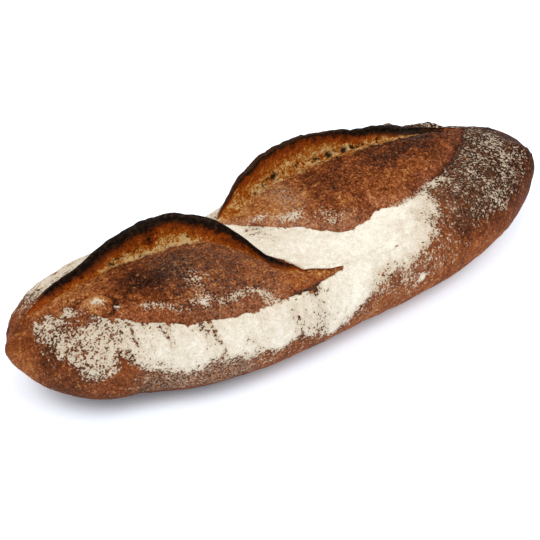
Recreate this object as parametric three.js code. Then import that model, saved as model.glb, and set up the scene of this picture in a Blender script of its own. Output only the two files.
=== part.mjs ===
import * as THREE from 'three';

// A country loaf: hand shaped, floured, slashed twice along its back and baked on a hot stone.
// Units are millimetres. +X runs along the loaf, +Y points to its back and +Z is up.
// The loaf stands on z = 0, with the middle of its box over the origin.

// Plain loaf, before the slashes opened
const LENGTH = 380;
const WIDTH = 122;
const CROWN = 64; // top of the plain crust
const BELT = 34; // height of the widest line at mid length
const TIP = 30; // height of the two tips
const BOW = 17; // the tips lie this far behind the middle
const SINK = 38; // the underside would reach this far below the belt, were it not baked flat

// Powers of the curves: 2 is an ellipse and more is squarer
const OUTLINE = { blunt: [4.8, 1.7], slim: [3.05, 1.8] }; // left end and right end, seen from above
const SECTION = { side: 2.2, crown: 2.1, under: 2.8 };

// Shallow dents in the flanks: side, middle along X, half length and depth
const DENTS = [
  { side: -1, middle: -132, half: 20, depth: 6 },
  { side: -1, middle: 25, half: 50, depth: 2 },
  { side: 1, middle: -38, half: 26, depth: 5 },
];

// Blister in the crust at the near slash's front edge, y measured from the middle line
const BLISTER = { x: -147, y: -12, radius: 8, height: 2.5 };

// A slash runs between two points of the plan, each x and the distance y from the middle line.
// Its opening draws back to the front and to the back by widths that swell along its length.
// ear and floor give the heights over the plain crust of the ear's edge and of the groove at its foot,
// as pairs of the place along the slash, 0 to 1, and millimetres. crumb is the crumb's rise between them.
// A tongue is a place where the front crust reaches into the opening.
// backLimit is the share of the half width where the ear's back has to meet the plain crust.
const NEAR_SLASH = {
  start: [-174, 12.5],
  end: [-10.5, -48.5],
  front: { width: 33, skew: 0.7, power: 1, share: 1, tongue: { at: 0.11, half: 0.045, depth: 16 } },
  back: { width: 34, skew: 1.15, power: 0.8, share: 0.87 },
  ear: [[0, 0], [0.12, 2], [0.24, 2.5], [0.33, 9.5], [0.44, 16.5], [0.57, 20], [0.67, 16.5], [0.74, 8],
    [0.79, 0.5], [1, 0]],
  floor: [[0, 0], [0.18, -5], [0.3, -3.5], [0.43, -1], [0.55, 4], [0.64, 5], [0.72, 1], [0.79, -3], [1, 0]],
  crumb: 5.5,
  backLimit: 0.7,
};
const FAR_SLASH = {
  start: [-46, 22],
  end: [141, 18],
  front: { width: 45, skew: 0.85, power: 0.8, share: 1 },
  back: { width: 13, skew: 1, power: 0.5, share: 1 },
  ear: [[0, 0], [0.05, 8], [0.12, 20], [0.2, 26], [0.3, 28.5], [0.42, 26.5], [0.6, 17.5], [0.78, 11.5],
    [0.88, 7.5], [0.95, 4], [1, 0]],
  floor: [[0, 0], [0.17, 6], [0.25, 9], [0.47, 9], [0.66, 6.3], [0.83, 3], [1, 0]],
  crumb: 6,
  backLimit: 0.93,
};
const SPREAD = 2.5; // half width that a slash keeps at its tips
const OPENING_POWER = 0.5; // how soon the crumb rises from the tips
const TORN_EDGE = { run: 1.5, most: 0.3, drop: 1.2 }; // the front crust ends in this step down to the crumb
const CRUMB_LEAN = 0.8; // under 1 the crumb's crest lies nearer the front
const LUMPS = { height: 0.8, along: 21, across: 17 }; // lumps of the crumb and their spacing
const FOOT = { run: 4.5, most: 0.6 }; // the wall's foot stands this far in front of its edge
const LIP = { thin: 1.5, thick: 3, round: 0.5 }; // thickness of the ear's edge and the height of its rounding
// Ripples of the ear's edge: number along the slash, share of the ear's height, and start
const CRAGS = [
  { count: 6, share: 0.03, start: 0.3 },
  { count: 11, share: 0.025, start: 1.1 },
];
const BACKSLOPE = { least: 6, perHeight: 1, hollow: 1.8 }; // run of the ear's back and how hollow it is
const SWERVE = { run: 50, share: 0.44 }; // the far slash's rows pass behind the near ear over this run

// Rows around the loaf and rings along it
const ROWS = { flank: 5, crumb: 7, wall: 3, lip: 2, backslope: 4, bridge: 4, under: 10 };
const RINGS = 100;
const END_CROWDING = 0.6; // share of the ring spacing that closes up towards the tips

const CRUST = { color: 0x9a6234, roughness: 0.85, metalness: 0 };

const { clamp, lerp, smoothstep } = THREE.MathUtils;
const wave = (distance, spacing) => Math.sin((2 * Math.PI * distance) / spacing);
const bell = (place, middle, half, height) => height * Math.exp(-(((place - middle) / half) ** 2));

// Plain loaf, as functions of x and of w, the share of the half width: -1 is the front and 1 the back
const alongLoaf = (x) => clamp((2 * x) / LENGTH, -1, 1);

function fullness(x) {
  const [side, end] = x < 0 ? OUTLINE.blunt : OUTLINE.slim;
  return (1 - Math.abs(alongLoaf(x)) ** side) ** (1 / end);
}

const halfWidth = (x) => (WIDTH / 2) * fullness(x);
const midline = (x) => BOW * alongLoaf(x) ** 2;
const beltHeight = (x) => TIP + (BELT - TIP) * fullness(x);
const roundness = (w, power) => Math.max(0, 1 - Math.abs(w) ** SECTION.side) ** (1 / power);
const crownHeight = (x, w) => beltHeight(x) + (CROWN - BELT) * fullness(x) * roundness(w, SECTION.crown);
const underHeight = (x, w) => Math.max(0, beltHeight(x) - SINK * fullness(x) * roundness(w, SECTION.under));

// Distance from the middle line, less the dents, which fade out towards that line
function reach(x, w) {
  const dents = DENTS.filter(({ side }) => side * w > 0);
  const depth = dents.reduce((sum, dent) => sum + bell(x, dent.middle, dent.half, dent.depth), 0);
  return w * (halfWidth(x) - depth);
}

function blisterHeight(x, w) {
  const distance = Math.hypot(x - BLISTER.x, w * halfWidth(x) - BLISTER.y);
  return bell(distance, 0, BLISTER.radius, BLISTER.height);
}

// Smooth curve through pairs of place and height, level at its ends
function heightAlong(pairs, s) {
  const last = pairs.length - 1;
  const k = pairs.slice(1, last).filter(([place]) => place <= s).length;
  const [here, next] = [pairs[k], pairs[k + 1]];
  const slopeAt = (i) => {
    if (i === 0 || i === last) return 0;
    return (pairs[i + 1][1] - pairs[i - 1][1]) / (pairs[i + 1][0] - pairs[i - 1][0]);
  };
  const span = next[0] - here[0];
  const t = (s - here[0]) / span;
  const fromHere = (1 - t) ** 2 * ((1 + 2 * t) * here[1] + t * span * slopeAt(k));
  const toNext = t ** 2 * ((3 - 2 * t) * next[1] - (1 - t) * span * slopeAt(k + 1));
  return fromHere + toNext;
}

// Width of one side of an opening at the place s along it
function opening({ width, skew, power, share, tongue }, s) {
  const t = clamp(s / share, 0, 1);
  const whole = SPREAD + width * Math.max(0, Math.sin(Math.PI * t ** skew)) ** power;
  return tongue ? whole - bell(s, tongue.at, tongue.half, tongue.depth) : whole;
}

function earHeight(slash, s) {
  const crags = CRAGS.map(({ count, share, start }) => share * Math.sin(2 * Math.PI * count * s + start));
  return heightAlong(slash.ear, s) * (1 + crags.reduce((sum, crag) => sum + crag, 0));
}

// Rows across a slash at x, from the front edge over the swollen crumb, up the wall and down the ear's back.
// Each row is its place w and its rise over the plain crust. Past the slash's tips the rows run on, level.
function slashRows(slash, x) {
  const { start, end } = slash;
  const within = clamp(x, start[0], end[0]);
  const s = (within - start[0]) / (end[0] - start[0]);
  const chord = lerp(start[1], end[1], s);
  const ear = earHeight(slash, s);
  const floor = heightAlong(slash.floor, s);
  const front = opening(slash.front, s);
  const back = opening(slash.back, s);
  const openness = Math.max(0, Math.sin(Math.PI * s)) ** OPENING_POWER;
  const foot = Math.min(FOOT.run, FOOT.most * back);
  const tornEdge = Math.min(TORN_EDGE.run, TORN_EDGE.most * front);
  const lip = lerp(LIP.thin, LIP.thick, clamp(ear / LIP.thick, 0, 1));
  const share = (offset) => (chord + offset) / halfWidth(within);
  const rows = [{ w: share(-front), rise: 0 }];
  const addRow = (offset, rise) => rows.push({ w: share(offset), rise });

  for (let i = 0; i <= ROWS.crumb; i++) {
    const t = i / ROWS.crumb;
    const offset = lerp(tornEdge - front, back - foot, t);
    const lump = wave(within, LUMPS.along) * wave(offset, LUMPS.across);
    const arch = Math.sin(Math.PI * t ** CRUMB_LEAN);
    const crumb = arch * (slash.crumb + LUMPS.height * lump) - TORN_EDGE.drop * (1 - t);
    addRow(offset, floor * t ** 2 + openness * crumb);
  }
  for (let i = 1; i <= ROWS.wall; i++) {
    const t = i / ROWS.wall;
    addRow(back - foot * (1 - t) ** 2, lerp(floor, ear, t));
  }
  for (let i = 1; i <= ROWS.lip; i++) {
    const t = i / ROWS.lip;
    addRow(back + lip * t, ear + LIP.round * openness * Math.sin(Math.PI * t));
  }
  const backslope = BACKSLOPE.least + BACKSLOPE.perHeight * Math.max(0, ear);
  const backStart = share(back + lip);
  const backEnd = Math.min(share(back + lip + backslope), slash.backLimit);
  for (let i = 1; i <= ROWS.backslope; i++) {
    const t = i / ROWS.backslope;
    rows.push({ w: lerp(backStart, backEnd, t), rise: ear * (1 - t) ** BACKSLOPE.hollow });
  }
  return rows;
}

// Rows of plain crust strictly between two places, evenly spaced round the section
function crustRows(from, to, count) {
  const angle = (w) => Math.acos(Math.sign(w) * Math.abs(w) ** (SECTION.side / 2));
  return Array.from({ length: count - 1 }, (_, i) => {
    const c = Math.cos(lerp(angle(from), angle(to), (i + 1) / count));
    return { w: Math.sign(c) * Math.abs(c) ** (2 / SECTION.side), rise: 0 };
  });
}

// One closed ring of points round the loaf at x
function ring(x) {
  const near = slashRows(NEAR_SLASH, x);
  const swerve = smoothstep(FAR_SLASH.start[0] - x, 0, SWERVE.run) * SWERVE.share;
  const far = slashRows(FAR_SLASH, x).map(({ w, rise }) => ({ w: w + swerve, rise }));
  const crown = [
    { w: -1, rise: 0 },
    ...crustRows(-1, near[0].w, ROWS.flank),
    ...near,
    ...crustRows(near.at(-1).w, far[0].w, ROWS.bridge),
    ...far,
    ...crustRows(far.at(-1).w, 1, ROWS.flank),
    { w: 1, rise: 0 },
  ];
  const place = (w, z) => new THREE.Vector3(x, midline(x) + reach(x, w), z);
  return [
    ...crown.map(({ w, rise }) => place(w, crownHeight(x, w) + rise + blisterHeight(x, w))),
    ...crustRows(1, -1, ROWS.under).map(({ w }) => place(w, underHeight(x, w))),
  ];
}

// Skin of triangles over a row of equal rings, closed by a point at each end
function skinOver(rings, firstTip, lastTip) {
  const count = rings[0].length;
  const points = [...rings.flat(), firstTip, lastTip];
  const first = points.length - 2;
  const last = points.length - 1;
  const index = [];
  rings.slice(1).forEach((_, i) => {
    for (let j = 0; j < count; j++) {
      const a = i * count + j;
      const b = i * count + ((j + 1) % count);
      const c = a + count;
      const d = b + count;
      const straight = points[a].distanceTo(points[d]) < points[b].distanceTo(points[c]);
      index.push(...(straight ? [a, d, b, a, c, d] : [a, c, b, b, c, d]));
    }
  });
  const end = (rings.length - 1) * count;
  for (let j = 0; j < count; j++) {
    const next = (j + 1) % count;
    index.push(first, j, next, last, end + next, end + j);
  }
  const geometry = new THREE.BufferGeometry().setFromPoints(points);
  geometry.setIndex(index);
  geometry.computeVertexNormals();
  return geometry;
}

function makeLoaf() {
  const rings = Array.from({ length: RINGS }, (_, i) => {
    const t = (2 * (i + 1)) / (RINGS + 1) - 1;
    const crowded = Math.sin((Math.PI / 2) * t);
    return ring((LENGTH / 2) * lerp(t, crowded, END_CROWDING));
  });
  const tipAt = (side) => new THREE.Vector3((side * LENGTH) / 2, BOW, TIP);
  const geometry = skinOver(rings, tipAt(-1), tipAt(1));
  geometry.computeBoundingBox();
  const middle = geometry.boundingBox.getCenter(new THREE.Vector3());
  const loaf = new THREE.Mesh(geometry, new THREE.MeshStandardMaterial(CRUST));
  loaf.name = 'loaf';
  loaf.position.set(-middle.x, -middle.y, 0);
  return loaf;
}

const countryLoaf = new THREE.Group();
countryLoaf.add(makeLoaf());

export default countryLoaf;
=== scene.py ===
import math
import bpy
import numpy as np
from mathutils import Matrix, Vector, noise


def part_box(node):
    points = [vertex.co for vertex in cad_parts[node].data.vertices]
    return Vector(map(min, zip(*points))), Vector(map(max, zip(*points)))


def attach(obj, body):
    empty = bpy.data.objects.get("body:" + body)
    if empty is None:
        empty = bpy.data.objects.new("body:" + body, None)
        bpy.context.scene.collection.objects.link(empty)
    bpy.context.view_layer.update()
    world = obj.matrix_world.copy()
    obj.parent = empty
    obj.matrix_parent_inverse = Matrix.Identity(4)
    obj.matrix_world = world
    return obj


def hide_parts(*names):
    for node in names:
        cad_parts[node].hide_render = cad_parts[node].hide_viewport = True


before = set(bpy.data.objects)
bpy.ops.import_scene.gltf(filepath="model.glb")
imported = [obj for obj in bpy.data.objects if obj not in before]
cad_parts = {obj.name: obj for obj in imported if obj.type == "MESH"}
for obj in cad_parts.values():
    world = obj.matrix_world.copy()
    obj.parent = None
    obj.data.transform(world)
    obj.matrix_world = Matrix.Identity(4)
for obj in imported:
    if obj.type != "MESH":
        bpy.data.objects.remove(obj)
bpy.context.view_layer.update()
print("frame loaded:", sorted(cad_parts))

mm = 0.001  # sizes are in millimetres until a mesh is made

# Plain loaf before the slashes opened, after the form of the solid
loafForm = {
    "length": 380,
    "width": 122,
    "crown": 64,  # top of the plain crust
    "belt": 34,  # height of the widest line
    "tip": 30,  # height of the two tips
    "tipOut": 0.6,  # how far a tip stands out from the last ring
    "bow": 17,  # the tips lie this far behind the middle
    "sink": 38,  # depth the underside would have, were it not baked flat
    "bluntEnd": (4.8, 1.7),  # powers of the plan outline at the left end
    "slimEnd": (3.05, 1.8),  # and at the right end
    "sidePower": 2.2,
    "crownPower": 2.1,
    "underPower": 2.8,
    "dents": [(-1, -132, 20, 6), (-1, 25, 50, 2), (1, -38, 26, 5)],  # side, middle, half length, depth
    "notch": {"x": -134, "half": 14, "depth": 2, "below": (24, 44)},  # fold low on the front, at the left
    "nubs": [(-189, 3, 38, 8, 4.5), (168, -22, 44, 12, 4.5), (99, 37, 63, 6, 4),
             (-38, 43, 54, 12, -3.5)],  # low knobs and one hollow: x, y, z, radius, height
    "rows": {"flank": 28, "crumb": 42, "wall": 20, "lip": 6, "back": 12, "bridge": 14, "rear": 18,
             "under": 24},  # of the mesh, for each part round the section
    "rings": 402,
    "endCrowding": 0.35,  # how far the rings crowd towards the tips
    "underCrowding": 0.8,
    "nowhere": 60,  # distance that stands for not being near a slash
}

# Each slash: ends in plan, widths of its opening, heights of ear and groove along it
nearSlash = {
    "start": (-174, 12.5),
    "end": (-10.5, -48.5),
    "front": {"width": 33, "skew": 0.7, "power": 1, "share": 1,
              "bulges": [(0.11, 0.045, -16), (0.04, 0.03, -5), (0.2, 0.05, -3), (0.55, 0.25, -2),
                         (1.0, 0.06, -1.2)]},
    "back": {"width": 34, "skew": 1.15, "power": 0.8, "share": 0.87,
             "bulges": [(0.8, 0.06, -7), (0.95, 0.09, -2.2)]},
    "ear": [(0, 0), (0.12, 2), (0.24, 2.5), (0.33, 9.5), (0.44, 16.5), (0.57, 20), (0.67, 16.5), (0.74, 8),
            (0.79, 0.5), (1, 0)],
    "floor": [(0, 0), (0.18, -5), (0.3, -3.5), (0.43, -1), (0.55, 4), (0.64, 5), (0.72, 1), (0.79, -3),
              (1, 0)],
    "crumb": 5.5,
    "crumbSpan": (0.0, 0.1, 0.68, 0.92),  # shares of the length where the crumb rises and is flush again
    "backLimit": 0.7,  # share of the half width where the ear's back ends
    "charSpan": (0.03, 0.12, 0.77, 0.88),  # shares of the length where the burnt rim begins and ends
    "charWidth": [(0, 2.5), (0.15, 2.5), (0.22, 4.5), (0.28, 7.5), (0.31, 8), (0.385, 8), (0.45, 5.5),
                  (0.52, 4), (0.58, 6), (0.68, 4), (1, 3)],
    "charMost": [(0, 1), (1, 1)],
    "goldReach": 4,  # the golden tear runs this far out from the foot of the wall
    "bakePower": [(0, 1), (1, 1)],  # how late the wall darkens on its way up
    "slit": 0.0,  # depth of the gap left open at the end of the wall
    "hump": 0.0,  # height of the crust left standing behind the end of the ear
    # the crack's darkness is painted shade in the crevice
    "tear": (-50, -44, -30, -22),  # x where a dark crack under the pointed end begins and ends
    "seed": 11.0,
}
farSlash = {
    "start": (-46, 22),
    "end": (146, 16),
    "front": {"width": 45, "skew": 0.85, "power": 0.8, "share": 1,
              "bulges": [(0.25, 0.06, 3.5), (0.31, 0.1, 5), (0.43, 0.05, -4), (0.52, 0.05, 2),
                         (0.6, 0.05, 1.5), (0.85, 0.12, 1.5)]},
    "back": {"width": 13, "skew": 1, "power": 0.5, "share": 1, "bulges": []},
    "ear": [(0, 0), (0.05, 8), (0.12, 20), (0.2, 26), (0.3, 28.5), (0.42, 26.5), (0.6, 17.5), (0.69, 13.5),
            (0.76, 9), (0.83, 5.5), (0.9, 3), (1, 0)],
    "floor": [(0, 0), (0.17, 6), (0.25, 9), (0.47, 9), (0.66, 6.3), (0.83, 3), (1, 0)],
    "crumb": 6,
    "crumbSpan": (0.0, 0.12, 0.88, 1.0),
    "backLimit": 0.93,
    "charSpan": (0.0, 0.05, 0.84, 0.9),
    "charWidth": [(0, 1.5), (0.42, 1.5), (0.53, 2.5), (0.62, 5), (0.7, 7), (1, 7)],
    "charMost": [(0, 0.75), (0.45, 0.75), (0.6, 1), (1, 1)],
    "goldReach": 7,
    "bakePower": [(0, 2.2), (0.45, 2.2), (0.6, 0.9), (1, 0.6)],
    "slit": 3.5,
    "hump": 5.0,
    "seed": 23.0,
}
slashForm = {
    "spread": 2.5,  # half width that the rows keep at the tips
    "openingPower": 0.5,
    "frontWander": (1.3, 11),  # wandering of an edge: how far, and how long its waves are
    "backWander": (0.8, 14),
    "wanderNoise": (0.8, 2.0, 3),  # loss and fineness of each octave, octaves
    "tornRun": 1.5,  # the torn front edge: its run, its largest share of the opening, its drop
    "tornMost": 0.3,
    "tornDrop": 1.2,
    "edgeGap": 0.2,  # the front edge counts as this far outside the opening
    "crumbCrowding": 0.06,  # finer rows at the torn edge and at the foot of the wall
    "crumbLean": 0.8,
    "lumpHeight": 0.8,
    "lumpAlong": 21,
    "lumpAcross": 17,
    "crease": {"at": 9.0, "most": 0.3, "height": 0.9, "half": 1.4,
               "wander": (1.5, 16)},  # ridge where the first tear stopped
    "footRun": 4.5,
    "footMost": 0.6,
    "wallLeast": 0.5,
    "wallGap": 4,  # the wall's top counts as this much nearer to the edge than its foot
    "lipThin": 1.5,
    "lipThick": 3,
    "lipRound": 1.2,
    "lipGap": 0.4,
    "curl": 1.5,  # the top of the ear leans this far over its own wall
    "curlFull": 15,  # height of an ear that leans that far
    "crags": [(6, 0.012, 0.3), (11, 0.01, 1.1)],  # waves along the ear, share of its height, start
    "cragWander": [(0.03, 12), (0.02, 4)],
    "backLeast": 6,
    "backPerHeight": 1,
    "backHollow": 1.8,
    "swerveRun": 50,  # left of the far slash its rows swerve back over this length
    "swerveShare": 0.44,
    "humpSpan": (0.6, 0.74, 0.92, 1.0),  # shares of the length where the hump rises and ends
    "slitSpan": (0.78, 0.9, 0.9, 0.99),  # shares of the length where the slit opens and closes
    "slitHalf": 1.3,
    "slitLeast": 0.5,
    # painted shadow: the slit is painted dark as it opens
    "slitShadow": 0.9,  # share of its opening at which the slit is fully dark
    "charOut": (1.8, 3.9),  # the burnt rim fades out over this stretch down the outside of the ear
    "charFade": 1.4,
    "scorchLeast": 0.6,
}


def bell(place, middle, half, height):
    return height * np.exp(-(((place - middle) / half) ** 2))


def ramp(value, low, high):
    # 0 below low, 1 above high, smooth between them
    t = np.clip((value - low) / (high - low), 0, 1)
    return t * t * (3 - 2 * t)


def fade(value, low, high):
    return 1 - ramp(value, low, high)


def stretch(value, start, full, waning, gone):
    # 1 from full to waning, 0 before start and past gone
    return ramp(value, start, full) * fade(value, waning, gone)


def step(value, low, high, height):
    return height * ramp(value, low, high)


def lerp(a, b, t):
    return a + (b - a) * t


def linesThrough(pairs, place):
    return np.interp(place, *np.array(pairs, float).T)


def alongLoaf(x):
    return np.clip(2 * x / loafForm["length"], -1, 1)


def fullness(x):
    u = np.abs(alongLoaf(x))
    blunt, slim = loafForm["bluntEnd"], loafForm["slimEnd"]
    left = np.maximum(0, 1 - u ** blunt[0]) ** (1 / blunt[1])
    right = np.maximum(0, 1 - u ** slim[0]) ** (1 / slim[1])
    return np.where(x < 0, left, right)


def halfWidth(x):
    return loafForm["width"] / 2 * fullness(x)


def midline(x):
    return loafForm["bow"] * alongLoaf(x) ** 2


def beltHeight(x):
    return lerp(loafForm["tip"], loafForm["belt"], fullness(x))


def roundness(w, power):
    return np.maximum(0, 1 - np.abs(w) ** loafForm["sidePower"]) ** (1 / power)


def crownHeight(x, w):
    rise = (loafForm["crown"] - loafForm["belt"]) * fullness(x)
    return beltHeight(x) + rise * roundness(w, loafForm["crownPower"])


def underHeight(x, w):
    drop = loafForm["sink"] * fullness(x) * roundness(w, loafForm["underPower"])
    return np.maximum(0, beltHeight(x) - drop)


def reach(x, w):
    dents = loafForm["dents"]
    depth = sum(bell(x, middle, half, deep) * (side * w > 0) for side, middle, half, deep in dents)
    return w * (halfWidth(x) - depth)


def heightAlong(pairs, s):
    # smooth curve through the pairs, level at both ends
    place, height = np.array(pairs, float).T
    slope = np.zeros_like(height)
    slope[1:-1] = (height[2:] - height[:-2]) / (place[2:] - place[:-2])
    k = np.clip(np.searchsorted(place, s, side="right") - 1, 0, len(place) - 2)
    span = place[k + 1] - place[k]
    t = (s - place[k]) / span
    fromHere = (1 - t) ** 2 * ((1 + 2 * t) * height[k] + t * span * slope[k])
    toNext = t ** 2 * ((3 - 2 * t) * height[k + 1] - (1 - t) * span * slope[k + 1])
    return fromHere + toNext


def wander(x, amount, size, seed):
    # smooth wandering along the loaf, to about the amount on either side
    line = [(float(v) / size, seed, 0.5) for v in x]
    return amount * np.array([noise.fractal(p, *slashForm["wanderNoise"]) for p in line])


def openingWidth(side, s):
    t = np.clip(s / side["share"], 0, 1)
    swell = np.maximum(0, np.sin(np.pi * t ** side["skew"])) ** side["power"]
    return slashForm["spread"] + side["width"] * swell + sum(bell(s, *bulge) for bulge in side["bulges"])


def crustAngle(w):
    return np.arccos(np.clip(np.sign(w) * np.abs(w) ** (loafForm["sidePower"] / 2), -1, 1))


def stepsTo(count):
    return (np.arange(1, count + 1) / count)[:, None]


def plainRows(wFrom, wTo, count, gapFrom, crowding=0.0):
    # rows of plain crust strictly between two places, spaced round the section, crowded towards both
    t = stepsTo(count)[:-1]
    t -= crowding * np.sin(2 * np.pi * t) / (2 * np.pi)
    c = np.cos(lerp(crustAngle(wFrom)[None], crustAngle(wTo)[None], t))
    w = np.sign(c) * np.abs(c) ** (2 / loafForm["sidePower"])
    flat = np.zeros_like(w)
    plain = {key: flat for key in ("rise", "climb", "s", "char", "scorch", "gold", "slit")}
    away = flat + loafForm["nowhere"]
    return {"w": w, "gap": (w - gapFrom) * halfWidth(ringX), "valley": away, "rim": away, **plain}


def edgeRow(w):
    edge = plainRows(w, w, 2, w)
    edge["gap"] = edge["gap"] - loafForm["nowhere"]
    return edge


def slashRows(slash, x):
    # rows across one slash: place w, rise over the plain crust, and the measures that the colours follow
    f, rows, seed = slashForm, loafForm["rows"], slash["seed"]
    (x0, y0), (x1, y1) = slash["start"], slash["end"]
    within = np.clip(x, x0, x1)
    s = (within - x0) / (x1 - x0)
    past = np.maximum(0, np.maximum(x0 - x, x - x1))
    chord = lerp(y0, y1, s)
    half = halfWidth(within)
    crags = sum(share * np.sin(2 * np.pi * count * s + start) for count, share, start in f["crags"])
    crags += sum(wander(x, *layer, seed + k) for k, layer in enumerate(f["cragWander"]))
    ear = heightAlong(slash["ear"], s) * (1 + crags)
    floor = heightAlong(slash["floor"], s)
    openness = np.maximum(0, np.sin(np.pi * s)) ** f["openingPower"]
    front = openingWidth(slash["front"], s) + openness * wander(x, *f["frontWander"], seed + 2)
    back = openingWidth(slash["back"], s) + openness * wander(x, *f["backWander"], seed + 3)
    foot = np.minimum(f["footRun"], f["footMost"] * back)
    torn = np.minimum(f["tornRun"], f["tornMost"] * front)
    lip = lerp(f["lipThin"], f["lipThick"], np.clip(ear / f["lipThick"], 0, 1))
    curl = f["curl"] * openness * np.clip(ear / f["curlFull"], 0, 1)
    wallHigh = np.maximum(ear - floor, f["wallLeast"])
    slitOpen = stretch(s, *f["slitSpan"])
    bands = []

    # front edge, then the crumb up to the foot of the wall
    t = np.zeros((1, 1))
    bands.append({"offset": -front + t, "rise": t, "climb": t, "gap": -past - f["edgeGap"],
                  "valley": front + back, "rim": -wallHigh - front - back})
    u = np.linspace(0, 1, rows["crumb"] + 1)[:, None]
    t = u - f["crumbCrowding"] * np.sin(2 * np.pi * u)
    offset = lerp(torn - front, back - foot, t)
    gap = offset + front
    valley = back - foot - offset
    lump = np.sin(2 * np.pi * within / f["lumpAlong"]) * np.sin(2 * np.pi * offset / f["lumpAcross"])
    arch = np.sin(np.pi * t ** f["crumbLean"])
    ridge = f["crease"]
    ridgeAt = np.minimum(ridge["at"], ridge["most"] * (front + back))
    crease = bell(gap - wander(x, *ridge["wander"], seed + 4), ridgeAt, ridge["half"], ridge["height"])
    crumb = stretch(s, *slash["crumbSpan"]) * arch * (slash["crumb"] + f["lumpHeight"] * lump + crease)
    crumb -= f["tornDrop"] * (1 - t) ** 3
    slit = slash["slit"] * slitOpen * bell(valley, 0, f["slitHalf"], 1)
    bands.append({"offset": offset, "rise": floor * t ** 2 + openness * crumb - slit, "climb": 0 * t,
                  "gap": gap - past, "valley": valley, "rim": -wallHigh - valley})

    # wall, rounded lip and the back of the ear
    t = stepsTo(rows["wall"])
    slit = slash["slit"] * slitOpen * (1 - t) ** 4
    bands.append({"offset": back - foot * (1 - t) ** 2 - curl * t ** 3, "rise": lerp(floor, ear, t) - slit,
                  "climb": t, "gap": front + back - past - f["wallGap"] * t, "valley": -wallHigh * t,
                  "rim": -wallHigh * (1 - t)})
    t = stepsTo(rows["lip"])
    bands.append({"offset": back - curl * (1 - t) + lip * (1 - np.cos(np.pi * t)) / 2,
                  "rise": ear + f["lipRound"] * openness * np.sin(np.pi * t), "climb": 0 * t + 1,
                  "gap": f["lipGap"] - lip * t - past, "valley": -wallHigh - lip * t, "rim": lip * t})
    t = stepsTo(rows["back"])
    wStart = (chord + back + lip) / half
    run = f["backLeast"] + f["backPerHeight"] * np.maximum(0, ear)
    wEnd = np.minimum(wStart + run / half, slash["backLimit"])
    down = lip + np.hypot((wEnd - wStart) * half, ear) * t
    hump = slash["hump"] * stretch(s, *f["humpSpan"]) * np.sin(np.pi * t) ** 2
    bands.append({"offset": lerp(wStart, wEnd, t) * half - chord, "climb": 1 - t, "gap": -down - past,
                  "rise": ear * (1 - t) ** f["backHollow"] + hump, "valley": -wallHigh - down,
                  "rim": down})

    shape = [(len(band["offset"]), len(x)) for band in bands]
    joined = {key: np.concatenate([np.broadcast_to(band[key], n) for band, n in zip(bands, shape)])
              for key in bands[0]}
    joined["w"] = (chord + joined.pop("offset")) / half
    joined["s"] = np.broadcast_to(s, joined["w"].shape)
    charWidth, charMost, bakePower = [linesThrough(slash[key], s)
                                      for key in ("charWidth", "charMost", "bakePower")]
    charred = charMost * stretch(s, *slash["charSpan"]) * (past == 0)
    outside = fade(joined["rim"], *f["charOut"])
    inside = ramp(joined["rim"], -f["charFade"] * charWidth, 0)
    joined["char"] = charred * np.where(joined["rim"] > 0, outside, inside)
    joined["scorch"] = joined["climb"] ** bakePower * lerp(f["scorchLeast"], 1, charred)
    joined["gold"] = np.broadcast_to(slash["goldReach"] * openness, joined["w"].shape)
    # mask of the slit's painted shadow
    slitHere = (slash["slit"] > 0) * (joined["rim"] < 0) * ramp(slitOpen, 0, f["slitShadow"])
    joined["slit"] = slitHere * bell(joined["valley"], 0, f["slitLeast"] + f["slitHalf"] * slitOpen, 1)
    return joined


# Skin of the loaf as a grid: first axis round the section, second along the loaf
t = 2 * (np.arange(loafForm["rings"]) + 1) / (loafForm["rings"] + 1) - 1
ringX = loafForm["length"] / 2 * lerp(t, np.sin(np.pi / 2 * t), loafForm["endCrowding"])
one = np.ones_like(ringX)
near = slashRows(nearSlash, ringX)
far = slashRows(farSlash, ringX)
swerve = ramp(farSlash["start"][0] - ringX, 0, slashForm["swerveRun"])
far["w"] = far["w"] + swerve * slashForm["swerveShare"]
rows = loafForm["rows"]
zones = [  # from the front edge over the top, then back underneath
    ("flank", edgeRow(-one)),
    ("flank", plainRows(-one, near["w"][0], rows["flank"], near["w"][0])),
    ("near", near),
    ("bridge", plainRows(near["w"][-1], far["w"][0], rows["bridge"], far["w"][0])),
    ("far", far),
    ("rear", plainRows(far["w"][-1], one, rows["rear"], 2 * one)),
    ("rear", edgeRow(one)),
    ("under", plainRows(one, -one, rows["under"], 2 * one, loafForm["underCrowding"])),
]
skin = {key: np.concatenate([group[key] for name, group in zones]) for key in near}
zone = np.concatenate([np.full(len(group["w"]), name) for name, group in zones])[:, None]
isNear, isFar = zone == "near", zone == "far"
w = skin["w"]
x = np.broadcast_to(ringX, w.shape)
v = w * halfWidth(x)  # across the loaf from its bowed midline
inFront = v < 0

# Oval blister at the left end of the near slash, with a shallow moat round it
blister = {"x": -147, "y": -12, "turn": (0.8, 0.6), "oval": (1.45, 0.85), "radius": 8, "height": 2.2,
           "domeHalf": 6.4, "moat": 1.2, "moatHalf": 2.5}
cosTurn, sinTurn = blister["turn"]
blisterAlong = cosTurn * (x - blister["x"]) - sinTurn * (v - blister["y"])
blisterAcross = sinTurn * (x - blister["x"]) + cosTurn * (v - blister["y"])
blisterGap = np.hypot(blisterAlong / blister["oval"][0], blisterAcross / blister["oval"][1])
dome = bell(blisterGap, 0, blister["domeHalf"], blister["height"] + blister["moat"])
dome -= bell(blisterGap, blister["radius"], blister["moatHalf"], blister["moat"])
z = np.where(zone == "under", underHeight(x, w), crownHeight(x, w) + skin["rise"] + dome)
notch = loafForm["notch"]
pinch = bell(x, notch["x"], notch["half"], notch["depth"]) * fade(z, *notch["below"]) * ramp(-w, 0, 1)
y = midline(x) + reach(x, w) + pinch
points = np.stack([x, y, z], 2)
print("skin grid:", w.shape[0], "rows by", w.shape[1], "rings")

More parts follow.
